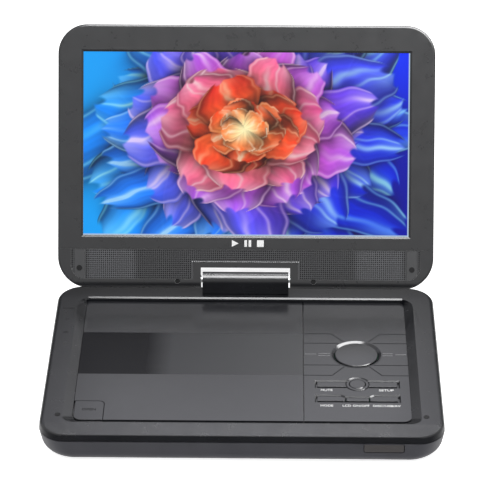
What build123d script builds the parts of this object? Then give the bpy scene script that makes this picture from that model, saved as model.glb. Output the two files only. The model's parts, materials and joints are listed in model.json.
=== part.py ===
from build123d import *
import math
import os

os.makedirs("parts", exist_ok=True)

# A portable disc player: a flat base with a disc drive and a control panel, and a
# screen lid on a hinge that tilts and swivels.  X right, Y back, Z up, millimetres.
# The origin is the centre of the footprint, on the surface that the feet stand on.
# "from_rear" distances run forward from the base's rear edge.

# Base
BASE_WIDTH = 258.0
BASE_DEPTH = 185.0
BASE_CORNER = 18.5
BASE_LOW_CORNER = 26.0
TOP_Z = 24.0
FLOOR_Z = 1.5
SEAM_Z = 17.7
SEAM_GAP = 0.4
WALL = 2.0
TOP_SKIN = 2.0
TOP_ROUND = 3.0
BOTTOM_ROUND = 9.0
TOP_DRAFT = 6.0
BOTTOM_DRAFT = 5.0
FRONT_BAND_X = 117.0
FRONT_BAND_TOP = 22.3
FRONT_BAND_DEPTH = 0.8
FRONT_SLOPE_START = 172.3
FRONT_SLOPE_ANGLE = 6.3
REAR_Y = 54.0
FLOOR_TOP = FLOOR_Z + WALL

# Recessed deck with the disc door on the left and the control panel on the right
RECESS_DEPTH = 3.0
DECK_Z = TOP_Z - RECESS_DEPTH
DECK_X = 108.5
DECK_REAR = 17.0
DECK_FRONT = 164.5
SLOPE = 6.8
SIDE_SLOPE = 5.8
REAR_BEVEL = 0.9
SPLIT_X = 39.5
PANEL_THICK = 1.6
SHELF_THICK = 1.5
SHELF_Z = DECK_Z - PANEL_THICK
BASIN_Z = SHELF_Z - SHELF_THICK
FRONT_GAP = 1.5
SPLIT_GAP = 0.3
GAP = 0.3

# Disc drive
DISC_X = -34.6
DISC_FROM_REAR = 90.7
WELL_RADIUS = 62.5
WELL_FLOOR_Z = 14.0
TRAY_WALL = 1.5
DISC_HOLE_RADIUS = 7.45
LENS_START = 24.0
ROD_RADIUS = 1.5
ROD_SPACING = 20.0
SLED_Z = 9.0
SCREW_OFFSET = 29.0
LOADER_Z = 10.6
RUNNING = 0.05

# Disc door and its hinge
DOOR_THICK = 1.8
DOOR_AXIS_FROM_REAR = 20.0
DOOR_AXIS_Z = 17.0
DOOR_REAR = 17.6
KNUCKLE_RADIUS = 2.0
KNUCKLE_HALF = 4.0
KNUCKLES_X = (-90.0, 21.0)
DOOR_PIN_RADIUS = 1.0
OPEN_KEY_X = (-107.6, -88.7)
OPEN_KEY_REAR = 142.4
OPEN_KEY_FRONT = 164.2
STRIPE_REAR = 58.1
STRIPE_FRONT = 109.9
STRIPE_DEPTH = 0.15

# Control panel keys
NAV_X = 74.6
NAV_FROM_REAR = 83.7
NAV_HOLE_RADIUS = 17.0
NAV_RING_INNER = 14.7
NAV_KEY_RADIUS = 14.2
NAV_PIVOT_Z = 19.6
PIVOT_BALL = 1.5
KEY_TOP = DECK_Z - 0.25
KEY_FOOT_Z = 18.4
FLANGE_THICK = 0.8
BOARD_Z = 15.6
SWITCH_TOP_Z = 17.6
MAIN_BOARD_Z = 12.4
SOCKET_BODY_Z = (9.0, 15.4)
BOSS_RADIUS = 3.2
SCREW_RADIUS = 1.3
SMALL_SCREW_RADIUS = 1.2
HEAD_RADIUS = 2.7
FOOT_RADIUS = 6.0
BUMPER_RADIUS = 1.8
BUMPER_FROM_REAR = 163
DOOR_BRACKET_Z = 13.0
SPINDLE_RADIUS = 1.5
WHEEL_SHAFT_RADIUS = 1.5
HUB_MAT_OUTER = 13.0
HUB_MAT_INNER = 9.5
KEY_BEVEL = 0.8
KEY_MOUTH_X = (46.7, 102.1)
KEY_X = (48.2, 100.4)
ROW_1_MOUTH = (115.7, 125.1)
ROW_1_KEYS = (117.4, 122.9)
ROW_2_MOUTH = (132.9, 142.2)
ROW_2_KEYS = (134.6, 139.9)
ROW_2_STEP = 1.8
ROW_2_SPLITS = (66.6, 81.9)
OK_X = 74.5
OK_FROM_REAR = 120.3
OK_RADIUS = 5.4
OK_RING_RADIUS = 7.3
OK_MOUTH_RADIUS = 8.4
LINE_WIDTH = 0.6
LINE_DEPTH = 0.5
INNER_LINES = 13.6
OUTER_LINES = (-25.6, 26.2)

# Lid and screen
LID_WIDTH = 257.0
LID_HEIGHT = 180.0
LID_HALF = 8.0
LID_TOP_CORNER = 20.0
LID_BOTTOM_CORNER = 21.5
LID_WALL = 2.0
LID_PARTING = 2.5
LID_LEAN = 26.5
CHIN_ROUND = 5.0
REAR_ROUND = 4.0
FRONT_ROUND = 1.6
SCREEN_WIDTH = 222.7
SCREEN_HEIGHT = 125.3
SCREEN_BOTTOM = 36.2
SCREEN_BEVEL = 1.3
MESH_TOP = 26.6
MESH_BOTTOM = 6.3
MESH_HALF = 119.5
MESH_DEPTH = 0.5
SPEAKER_X = 91.5
LID_SCREWS = [(-60, 25), (60, 25), (-100, 172), (100, 172)]

# Hinge between the base and the lid
AXIS_FROM_REAR = 6.5
AXIS_HEIGHT = 8.5
AXIS_UP_LID = 5.75
BARREL_RADIUS = 5.5
BARREL_HALF = 29.5
NOTCH_HALF = 30.5
NOTCH_HEIGHT = 14.4
TRIM_BAR = 2.8
TRIM_ARM = 0.6
TILT_PIN_RADIUS = 2.0
SHAFT_RADIUS = 3.2
AXIS_Y = REAR_Y - AXIS_FROM_REAR
AXIS_Z = TOP_Z + AXIS_HEIGHT

# Side sockets and controls
SOCKET_Z = 12.2
JACK_RADIUS = 1.8
JACK_DEPTH = 12.0
SOCKET_INSET = 3.2
JACKS_FROM_REAR = (32.0, 46.0)
USB_FROM_REAR = 63.0
CARD_FROM_REAR = 140.0
DC_FROM_REAR = 38.0
SWITCH_FROM_REAR = 58.0
WHEEL_FROM_REAR = 84.0
WHEEL_X = 122.4
WHEEL_RADIUS = 6.3
WINDOW_X = (77.5, 102.5)
WINDOW_Z = (11.2, 17.0)
WINDOW_GAP = 0.45
BUMPER_X = 117.3

BASE_SCREWS = [(-112, 15), (112, 15), (-60, 11.5), (60, 11.5), (-113.5, 170.5), (113.5, 170.5), (0, 175)]
FEET = [(-105, 22), (105, 22), (-105, 163), (105, 163)]
LOADER_CORNERS = [(-46, -18), (46, -18), (-46, 71), (46, 71)]

parts = {}


def y_at(from_rear):
    return REAR_Y - from_rear


def block(x_range, rear, front, z_range):
    """A box across x_range, from rear to front (distances from the rear edge), over z_range."""
    width = x_range[1] - x_range[0]
    height = z_range[1] - z_range[0]
    centre = ((x_range[0] + x_range[1]) / 2, y_at((rear + front) / 2), (z_range[0] + z_range[1]) / 2)
    return Pos(*centre) * Box(width, front - rear, height)


def post(radius, x, from_rear, low, high):
    """An upright cylinder."""
    return Pos(x, y_at(from_rear), (low + high) / 2) * Cylinder(radius, high - low)


def rod_x(radius, x_range, from_rear, z):
    """A cylinder that lies along X."""
    length = x_range[1] - x_range[0]
    return Pos((x_range[0] + x_range[1]) / 2, y_at(from_rear), z) * Rot(0, 90, 0) * Cylinder(radius, length)


def rod_y(radius, x, rear, front, z):
    """A cylinder that lies along Y."""
    return Pos(x, y_at((rear + front) / 2), z) * Rot(90, 0, 0) * Cylinder(radius, front - rear)


def plan(width, depth, corner, z):
    """The base's rounded outline at height z."""
    return Pos(0, REAR_Y - BASE_DEPTH / 2, z) * RectangleRounded(width, depth, corner)


def bowl(inset, top, bottom, draft, rounding):
    """A drafted tub, inset from the base's outline, with fuller corners and a rounded edge below."""
    width = BASE_WIDTH - 2 * inset
    depth = BASE_DEPTH - 2 * inset
    narrowing = 2 * (top - bottom) * math.tan(math.radians(draft))
    rim = plan(width, depth, BASE_CORNER - inset, top)
    floor = plan(width - narrowing, depth - narrowing, BASE_LOW_CORNER - inset, bottom)
    tub = loft([rim, floor], ruled=True)
    return fillet(tub.faces().sort_by(Axis.Z)[0].edges(), rounding)


def cap(inset, bottom, top, draft):
    """A drafted slab that narrows upwards, inset from the base's outline."""
    outline = plan(BASE_WIDTH - 2 * inset, BASE_DEPTH - 2 * inset, BASE_CORNER - inset, bottom)
    return extrude(outline, top - bottom, taper=draft)


def deck_outline(widen, front_extra, z, rear_corner, front_corner):
    """The recess outline at height z: flush with the rear wall, wider at the sides and the front."""
    rear = y_at(DECK_REAR)
    front = y_at(DECK_FRONT + front_extra)
    sketch = Pos(0, (rear + front) / 2, z) * Rectangle(2 * (DECK_X + widen), rear - front)
    corners = sketch.vertices().sort_by(Axis.Y)
    sketch = fillet(corners[:2], front_corner)
    return fillet(sketch.vertices().sort_by(Axis.Y)[-2:], rear_corner)


def ring(outer, inner, x, from_rear, low, high):
    return post(outer, x, from_rear, low, high) - post(inner, x, from_rear, low - 1, high + 1)


def base_shapes():
    """The two halves of the base's casing, their window and their screws."""
    outer = bowl(0, SEAM_Z - SEAM_GAP / 2, FLOOR_Z, BOTTOM_DRAFT, BOTTOM_ROUND)
    inner = bowl(WALL, SEAM_Z + 1, FLOOR_TOP, BOTTOM_DRAFT, BOTTOM_ROUND - WALL)
    lip_top = SEAM_Z + 1.5
    lip = cap(WALL + 0.05, SEAM_Z - 3, lip_top, 0) - cap(WALL + 1.0, SEAM_Z - 4, lip_top + 1, 0)
    shell = (outer - inner) + lip
    shaft_room = post(SHAFT_RADIUS + 3.4, 0, AXIS_FROM_REAR, SEAM_Z - 0.2, lip_top + 1)
    nut_room = post(SHAFT_RADIUS + 2.0, 0, AXIS_FROM_REAR, SEAM_Z - 3.2, lip_top + 1)
    shell -= shaft_room + nut_room

    side = BASE_WIDTH / 2
    for from_rear in JACKS_FROM_REAR:
        shell -= rod_x(3.2, (-side - 1, -side + 6), from_rear, SOCKET_Z)
    shell -= block((-side - 1, -side + 6), USB_FROM_REAR - 7.4, USB_FROM_REAR + 7.4,
        (SOCKET_Z - 3.4, SOCKET_Z + 3.4))
    shell -= block((-side - 1, -side + 6), CARD_FROM_REAR - 12.8, CARD_FROM_REAR + 12.8,
        (SOCKET_Z - 1.8, SOCKET_Z + 1.8))
    shell -= rod_x(4.3, (side - 6, side + 1), DC_FROM_REAR, SOCKET_Z)
    scoop = (side - 1.3, side + 1)
    shell -= block(scoop, SWITCH_FROM_REAR - 9, SWITCH_FROM_REAR + 9, (SOCKET_Z - 2.6, SOCKET_Z + 2.6))
    slot = (side - 6, side + 1)
    shell -= block(slot, SWITCH_FROM_REAR - 5.3, SWITCH_FROM_REAR + 5.3, (SOCKET_Z - 1.7, SOCKET_Z + 1.7))
    shell -= block(scoop, WHEEL_FROM_REAR - 9, WHEEL_FROM_REAR + 9, (SOCKET_Z - 2.6, SOCKET_Z + 2.6))
    shell -= block(slot, WHEEL_FROM_REAR - 6.2, WHEEL_FROM_REAR + 6.2, (SOCKET_Z - 1.7, SOCKET_Z + 1.7))

    window = block(WINDOW_X, BASE_DEPTH - 8, BASE_DEPTH + 1, WINDOW_Z)
    window = fillet(window.edges().filter_by(Axis.Y).sort_by(Axis.Z)[:2], 1.0)
    window_front = bowl(0.1, SEAM_Z, FLOOR_Z, BOTTOM_DRAFT, BOTTOM_ROUND)
    window_back = bowl(WALL - 0.2, SEAM_Z + 1, FLOOR_TOP, BOTTOM_DRAFT, BOTTOM_ROUND - WALL)
    parts["front_window"] = (window_front & window) - window_back
    hole_x = (WINDOW_X[0] - WINDOW_GAP, WINDOW_X[1] + WINDOW_GAP)
    hole_z = (WINDOW_Z[0] - WINDOW_GAP, WINDOW_Z[1] + 0.1)
    hole = block(hole_x, BASE_DEPTH - 8, BASE_DEPTH + 1, hole_z)
    shell -= fillet(hole.edges().filter_by(Axis.Y).sort_by(Axis.Z)[:2], 1.0 + WINDOW_GAP)

    screws = Part()
    for x, from_rear in BASE_SCREWS:
        shell += post(BOSS_RADIUS, x, from_rear, FLOOR_TOP - 0.5, SEAM_Z - SEAM_GAP / 2)
    for x, from_rear in BASE_SCREWS:
        shell -= post(HEAD_RADIUS + 0.2, x, from_rear, FLOOR_Z - 1, FLOOR_Z + 2.4)
        shell -= post(SCREW_RADIUS, x, from_rear, FLOOR_Z, SEAM_Z)
        head = post(HEAD_RADIUS, x, from_rear, FLOOR_Z + 0.5, FLOOR_Z + 2.4)
        cross = block((x - 1.5, x + 1.5), from_rear - 0.3, from_rear + 0.3, (FLOOR_Z, FLOOR_Z + 1.3))
        cross += block((x - 0.3, x + 0.3), from_rear - 1.5, from_rear + 1.5, (FLOOR_Z, FLOOR_Z + 1.3))
        screws += (head - cross) + post(SCREW_RADIUS, x, from_rear, FLOOR_Z + 2.4, SEAM_Z + 2.3)
    parts["base_screws"] = screws

    feet = Part()
    for x, from_rear in FEET:
        shell -= post(FOOT_RADIUS + 0.1, x, from_rear, FLOOR_Z - 1, FLOOR_Z + 0.5)
        pad = post(FOOT_RADIUS, x, from_rear, 0, FLOOR_Z + 0.5)
        feet += chamfer(pad.edges().sort_by(Axis.Z)[0], 0.5)
    parts["rubber_feet"] = feet

    for dx, dy in LOADER_CORNERS:
        shell += post(BOSS_RADIUS, DISC_X + dx, DISC_FROM_REAR + dy, FLOOR_TOP - 0.5, LOADER_Z - 2)
        shell -= post(SMALL_SCREW_RADIUS, DISC_X + dx, DISC_FROM_REAR + dy, FLOOR_TOP + 1.5, LOADER_Z)
    parts["base_bottom_housing"] = shell


def top_housing():
    """The upper half: a rim around the sloped recess, a shelf for the panel and the door's lugs."""
    bottom = SEAM_Z + SEAM_GAP / 2
    outer = cap(0, bottom, TOP_Z, TOP_DRAFT)
    outer = fillet(outer.faces().sort_by(Axis.Z)[-1].edges(), TOP_ROUND)
    above = Pos(0, y_at(FRONT_SLOPE_START), TOP_Z) * Rot(FRONT_SLOPE_ANGLE, 0, 0)
    outer -= above * Pos(0, -TOP_Z / 2, TOP_Z / 2) * Box(2 * BASE_WIDTH, TOP_Z, TOP_Z)
    outer -= block((-FRONT_BAND_X, FRONT_BAND_X), BASE_DEPTH - FRONT_BAND_DEPTH, BASE_DEPTH + 1,
        (0, FRONT_BAND_TOP))
    body = outer - cap(WALL, bottom - 1, TOP_Z - TOP_SKIN, 0)
    basin_x = (-DECK_X - 4.5, DECK_X + 4.5)
    basin = block(basin_x, DECK_REAR - 4, DECK_FRONT + SLOPE - 2.3, (BASIN_Z, TOP_Z - TOP_SKIN))
    body += basin
    low = deck_outline(0, FRONT_GAP, DECK_Z, 0.5, 6.0)
    high = deck_outline(SIDE_SLOPE, SLOPE, TOP_Z, 10.0, 7.0)
    body -= loft([low, high], ruled=True)
    body -= extrude(high, 2)
    bevel_place = Pos(0, y_at(DECK_REAR), TOP_Z) * Rot(45, 0, 0)
    body -= bevel_place * Box(2 * DECK_X - 2, REAR_BEVEL * math.sqrt(2), REAR_BEVEL * math.sqrt(2))

    # Under the deck level the recess widens behind the door, where its rear edge swings down.
    body -= extrude(low, PANEL_THICK, dir=(0, 0, -1))
    body -= block((-DECK_X, SPLIT_X + SPLIT_GAP), DECK_REAR - 2, DECK_FRONT, (BASIN_Z - 1, DECK_Z - 0.3))
    body -= block((SPLIT_X + 4.5, DECK_X - 4.5), 60, 152, (BASIN_Z - 1, SHELF_Z + 1))

    for x in KNUCKLES_X:
        for side in (-1, 1):
            near = x + side * (KNUCKLE_HALF + GAP)
            far = near + side * 3.0
            span = (min(near, far), max(near, far))
            body += rod_x(KNUCKLE_RADIUS, span, DOOR_AXIS_FROM_REAR, DOOR_AXIS_Z)
            body += block(span, 18, 22, (DOOR_BRACKET_Z, DOOR_AXIS_Z))
            body += block(span, DECK_REAR - 4, 22, (DOOR_BRACKET_Z, DOOR_BRACKET_Z + 1.6))
            body += block(span, DECK_REAR - 4, DECK_REAR - 2, (DOOR_BRACKET_Z, BASIN_Z + 1))
            body -= rod_x(DOOR_PIN_RADIUS, (span[0] - 0.1, span[1] + 0.1), DOOR_AXIS_FROM_REAR, DOOR_AXIS_Z)

    for x, from_rear in BASE_SCREWS:
        body += post(BOSS_RADIUS, x, from_rear, bottom, TOP_Z - TOP_SKIN + 0.5)
        body -= post(SCREW_RADIUS, x, from_rear, bottom - 1, SEAM_Z + 2.3)

    body += post(5.6, 0, AXIS_FROM_REAR, bottom, TOP_Z - 1)
    body -= post(SHAFT_RADIUS + RUNNING, 0, AXIS_FROM_REAR, bottom - 1, TOP_Z + 1)

    bumpers = Part()
    for x in (-BUMPER_X, BUMPER_X):
        body -= post(BUMPER_RADIUS + 0.05, x, BUMPER_FROM_REAR, TOP_Z - 1.2, TOP_Z + 1)
        bumpers += post(BUMPER_RADIUS, x, BUMPER_FROM_REAR, TOP_Z - 1.2, TOP_Z + 0.2)
    parts["frame_bumpers"] = bumpers
    parts["base_top_housing"] = body


def outline(points, z):
    """A face at height z through points, each an x and a distance from the rear edge."""
    return Pos(0, 0, z) * make_face(Polyline(*[(x, y_at(from_rear)) for x, from_rear in points],
        close=True))


def corners(x_range, rear, front):
    return [(x_range[0], rear), (x_range[1], rear), (x_range[1], front), (x_range[0], front)]


def stepped(x_range, rows, side):
    """The outline of an outer key or its mouth in row 2, cut off where it meets the shorter middle one."""
    near = x_range[side]
    far = x_range[1 - side]
    bevel_x = far + (2.8 if side == 1 else -2.8)
    return [(near, rows[0]), (bevel_x, rows[0]), (far, rows[0] + ROW_2_STEP), (far, rows[1]),
        (near, rows[1])]


def key_mouth(points):
    """What is cut from the panel for a key: a bevelled mouth and a straight hole under it."""
    bevel = extrude(outline(points, DECK_Z), KEY_BEVEL, dir=(0, 0, -1), taper=45)
    return bevel + extrude(bevel.faces().sort_by(Axis.Z)[0], PANEL_THICK, dir=(0, 0, -1))


def panel_lines():
    """The engraved lines that run from the panel's sides to the four-way key."""
    groove_z = (DECK_Z - LINE_DEPTH, DECK_Z + 1)
    lines = Part()
    for side in (-1, 1):
        edge = DECK_X if side > 0 else SPLIT_X
        for dy in (-INNER_LINES, INNER_LINES):
            span = sorted((edge, NAV_X + side * 11.0))
            middle = NAV_FROM_REAR + dy
            lines += block(span, middle - LINE_WIDTH / 2, middle + LINE_WIDTH / 2, groove_z)
        for dy in OUTER_LINES:
            middle = NAV_FROM_REAR + dy
            start = Vector(NAV_X + side * 16.4, y_at(middle), 0)
            end = Vector(NAV_X + side * 8.6, y_at(NAV_FROM_REAR + math.copysign(16.0, dy)), 0)
            span = sorted((edge, start.X))
            lines += block(span, middle - LINE_WIDTH / 2, middle + LINE_WIDTH / 2, groove_z)
            run = end - start
            centre = (start + end) / 2
            stroke = Box(run.length + LINE_WIDTH, LINE_WIDTH, groove_z[1] - groove_z[0])
            turn = math.degrees(math.atan2(run.Y, run.X))
            lines += Pos(centre.X, centre.Y, sum(groove_z) / 2) * Rot(0, 0, turn) * stroke
    return lines


def control_panel():
    """The panel beside the door: its bevelled key mouths, its lines and the holes of its round keys."""
    panel = block((SPLIT_X + SPLIT_GAP, DECK_X - 0.25), DECK_REAR + 0.25, OPEN_KEY_FRONT, (SHELF_Z, DECK_Z))
    right_corners = panel.edges().filter_by(Axis.Z).sort_by(Axis.X)[2:].sort_by(Axis.Y)
    panel = fillet(right_corners[0], 5.5)
    rear_corner = panel.edges().filter_by(Axis.Z).sort_by(Axis.X)[-2:].sort_by(Axis.Y)[-1]
    panel = fillet(rear_corner, 3.5)
    panel -= panel_lines()
    panel -= post(NAV_HOLE_RADIUS, NAV_X, NAV_FROM_REAR, SHELF_Z - 1, DECK_Z + 1)

    left_split, right_split = ROW_2_SPLITS
    panel -= key_mouth(corners(KEY_MOUTH_X, *ROW_1_MOUTH))
    panel -= key_mouth(stepped((KEY_MOUTH_X[0], left_split), ROW_2_MOUTH, 0))
    panel -= key_mouth(stepped((right_split, KEY_MOUTH_X[1]), ROW_2_MOUTH, 1))
    middle = (left_split - 3.0, right_split + 3.0)
    panel -= key_mouth(corners(middle, ROW_2_MOUTH[0] + ROW_2_STEP, ROW_2_MOUTH[1]))

    ok_place = Pos(OK_X, y_at(OK_FROM_REAR), DECK_Z - KEY_BEVEL / 2)
    panel -= ok_place * Cone(OK_MOUTH_RADIUS - KEY_BEVEL, OK_MOUTH_RADIUS, KEY_BEVEL)
    ok_ring = post(OK_RING_RADIUS, OK_X, OK_FROM_REAR, SHELF_Z, DECK_Z - 0.1)
    panel += post(OK_MOUTH_RADIUS - KEY_BEVEL, OK_X, OK_FROM_REAR, SHELF_Z, DECK_Z - KEY_BEVEL)
    panel += chamfer(ok_ring.edges().sort_by(Axis.Z)[-1], 0.3)
    panel -= post(OK_RADIUS + GAP, OK_X, OK_FROM_REAR, SHELF_Z - 1, DECK_Z + 1)
    parts["control_panel"] = panel


def row_keys():
    """The five flat keys, each with a flange under the panel, and the round key between them."""
    left_split, right_split = ROW_2_SPLITS
    spans = {
        "mute_key": (KEY_X[0], OK_X - 6.0, KEY_MOUTH_X[0]),
        "setup_key": (OK_X + 6.0, KEY_X[1], KEY_MOUTH_X[1]),
    }
    outlines = {}
    for name, (left, right, end) in spans.items():
        flange_x = (min(left, end), max(right, end))
        outlines[name] = (corners((left, right), *ROW_1_KEYS), corners(flange_x, *ROW_1_MOUTH))
    left = left_split - GAP
    right = right_split + GAP
    outlines["mode_key"] = (
        stepped((KEY_X[0], left), ROW_2_KEYS, 0), stepped((KEY_MOUTH_X[0], left), ROW_2_MOUTH, 0))
    outlines["source_key"] = (
        stepped((right, KEY_X[1]), ROW_2_KEYS, 1), stepped((right, KEY_MOUTH_X[1]), ROW_2_MOUTH, 1))
    middle = (left_split + GAP, right_split - GAP)
    outlines["screen_key"] = (
        corners(middle, ROW_2_KEYS[0] + ROW_2_STEP, ROW_2_KEYS[1]),
        corners(middle, ROW_2_MOUTH[0] + ROW_2_STEP, ROW_2_MOUTH[1]))
    ring_room = post(OK_MOUTH_RADIUS - KEY_BEVEL + GAP, OK_X, OK_FROM_REAR, KEY_FOOT_Z - 1, KEY_TOP + 1)
    for name, (top, flange) in outlines.items():
        key = extrude(outline(top, KEY_FOOT_Z), KEY_TOP - KEY_FOOT_Z, dir=(0, 0, 1))
        key = chamfer(key.faces().sort_by(Axis.Z)[-1].edges(), 0.25)
        key += extrude(outline(flange, KEY_FOOT_Z), FLANGE_THICK, dir=(0, 0, 1))
        parts[name] = key - ring_room

    ok_foot = extrude(Pos(OK_X, y_at(OK_FROM_REAR), KEY_FOOT_Z) * RegularPolygon(OK_RADIUS, 6), 1.2)
    ok_foot &= post(OK_RADIUS - 0.2, OK_X, OK_FROM_REAR, KEY_FOOT_Z, KEY_TOP)
    ok_cap = post(OK_RADIUS, OK_X, OK_FROM_REAR, SHELF_Z, DECK_Z + 0.2)
    parts["ok_key"] = ok_foot + chamfer(ok_cap.edges().sort_by(Axis.Z)[-1], 0.5)


def four_way_key():
    """The round four-way key, the dished ring round it and the ball that it rocks on."""
    lip = NAV_HOLE_RADIUS - 0.02
    ring_profile = Polyline(
        (NAV_RING_INNER, SHELF_Z),
        (lip, SHELF_Z),
        (lip, DECK_Z + 0.15),
        (NAV_HOLE_RADIUS - 0.5, DECK_Z + 0.15),
        (NAV_RING_INNER, DECK_Z - 1.1),
        close=True,
    )
    dish = revolve(Plane.XZ * make_face(ring_profile), Axis.Z)
    parts["nav_ring"] = Pos(NAV_X, y_at(NAV_FROM_REAR), 0) * dish

    foot = SHELF_Z + 0.2
    rim = DECK_Z - 0.1
    apex = DECK_Z + 0.35
    flat = NAV_KEY_RADIUS - 0.4
    crown_radius = (flat ** 2 + (apex - rim) ** 2) / (2 * (apex - rim))
    halfway = apex - crown_radius + math.sqrt(crown_radius ** 2 - flat ** 2 / 4)
    side = Polyline((0, foot), (NAV_KEY_RADIUS, foot), (NAV_KEY_RADIUS, rim - 0.4), (flat, rim))
    crown = ThreePointArc((flat, rim), (flat / 2, halfway), (0, apex))
    dome = revolve(Plane.XZ * make_face(side + crown + Line((0, apex), (0, foot))), Axis.Z)
    dome = Pos(NAV_X, y_at(NAV_FROM_REAR), 0) * dome
    dome -= post(2.6, NAV_X, NAV_FROM_REAR, SHELF_Z - 1, NAV_PIVOT_Z)
    ball_place = Pos(NAV_X, y_at(NAV_FROM_REAR), NAV_PIVOT_Z)
    parts["nav_key"] = dome - ball_place * Sphere(PIVOT_BALL + RUNNING)
    pivot = post(2.0, NAV_X, NAV_FROM_REAR, 17.15, 18.0)
    pivot += post(0.9, NAV_X, NAV_FROM_REAR, 17.15, NAV_PIVOT_Z)
    parts["nav_pivot"] = pivot + ball_place * Sphere(PIVOT_BALL)


def key_board():
    """The circuit board under the keys, with a dome switch under each one."""
    board = block((SPLIT_X + 5.5, DECK_X - 5.5), 61, 151, (BOARD_Z, BOARD_Z + 1.2))
    domes = [(56.0, 120.0), (92.0, 120.0), (OK_X, OK_FROM_REAR), (57.0, 137.3), (OK_X, 138.0),
        (91.5, 137.3)]
    for x, from_rear in domes:
        board += post(2.6, x, from_rear, BOARD_Z + 1.1, SWITCH_TOP_Z)
    for dx, dy in ((-10.5, 0), (10.5, 0), (0, -10.5), (0, 10.5)):
        board += post(2.2, NAV_X + dx, NAV_FROM_REAR + dy, BOARD_Z + 1.1, SWITCH_TOP_Z)
    board -= post(2.3, NAV_X, NAV_FROM_REAR, 16.9, 17.7)
    parts["key_board"] = board


def disc_door():
    """The door over the disc, its knuckles, its pins, and the key and slider that release it."""
    z_range = (DECK_Z - DOOR_THICK, DECK_Z)
    door = block((-DECK_X + GAP, SPLIT_X - SPLIT_GAP), DOOR_REAR, OPEN_KEY_FRONT, z_range)
    rear_left = door.edges().filter_by(Axis.Z).sort_by(Axis.X)[:2].sort_by(Axis.Y)[-1]
    door = fillet(rear_left, 1.5)
    cut_x = (-DECK_X - 1, OPEN_KEY_X[1] + GAP)
    notch = block(cut_x, OPEN_KEY_REAR - GAP, DECK_FRONT + 1, (DECK_Z - 3, DECK_Z + 1))
    notch = fillet(notch.edges().filter_by(Axis.Z).sort_by(Axis.X)[2:].sort_by(Axis.Y)[-1], 4.0)
    door -= notch
    door -= block((-DECK_X, SPLIT_X), STRIPE_REAR, STRIPE_FRONT, (DECK_Z - STRIPE_DEPTH, DECK_Z + 1))
    rib_z = (DECK_Z - DOOR_THICK - 0.8, DECK_Z - DOOR_THICK + 0.2)
    rib = ring(WELL_RADIUS - 3, WELL_RADIUS - 4.5, DISC_X, DISC_FROM_REAR, *rib_z)
    door += rib
    for x in KNUCKLES_X:
        span = (x - KNUCKLE_HALF, x + KNUCKLE_HALF)
        door += rod_x(KNUCKLE_RADIUS, span, DOOR_AXIS_FROM_REAR, DOOR_AXIS_Z)
        door += block(span, 18, 22, (DOOR_AXIS_Z, DECK_Z - DOOR_THICK + 0.2))
        door -= rod_x(DOOR_PIN_RADIUS + RUNNING,
        (span[0] - 1, span[1] + 1), DOOR_AXIS_FROM_REAR, DOOR_AXIS_Z)
    door += block((-85.5, -82.5), 160.8, 162.6, (16.1, DECK_Z - DOOR_THICK + 0.2))
    parts["disc_door"] = door

    pins = Part()
    for x in KNUCKLES_X:
        reach = KNUCKLE_HALF + GAP + 3.0
        pins += rod_x(DOOR_PIN_RADIUS, (x - reach, x + reach), DOOR_AXIS_FROM_REAR, DOOR_AXIS_Z)
    parts["door_pins"] = pins

    key = block(OPEN_KEY_X, OPEN_KEY_REAR, OPEN_KEY_FRONT, (DECK_Z - PANEL_THICK, DECK_Z))
    key = fillet(key.edges().filter_by(Axis.Z).sort_by(Axis.X)[2:].sort_by(Axis.Y)[-1], 3.7)
    key = fillet(key.edges().filter_by(Axis.Z).sort_by(Axis.X)[:2].sort_by(Axis.Y)[0], 5.0)
    key = chamfer(key.faces().sort_by(Axis.Z)[-1].edges(), 0.25)
    key_x = sum(OPEN_KEY_X) / 2
    key_y = (OPEN_KEY_REAR + OPEN_KEY_FRONT) / 2
    parts["open_button"] = key + post(3.0, key_x, key_y, 17.0, DECK_Z - PANEL_THICK + 0.2)
    slider_z = (14.2, 15.6)
    slider = block((key_x - 4, -79.5), 152, 160, slider_z)
    slider += block((-88, -79.5), 160, 166, slider_z)
    slider += block((-86.5, -81.5), 164.4, 166, (slider_z[0], 17.0))
    parts["latch_slider"] = slider


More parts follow.
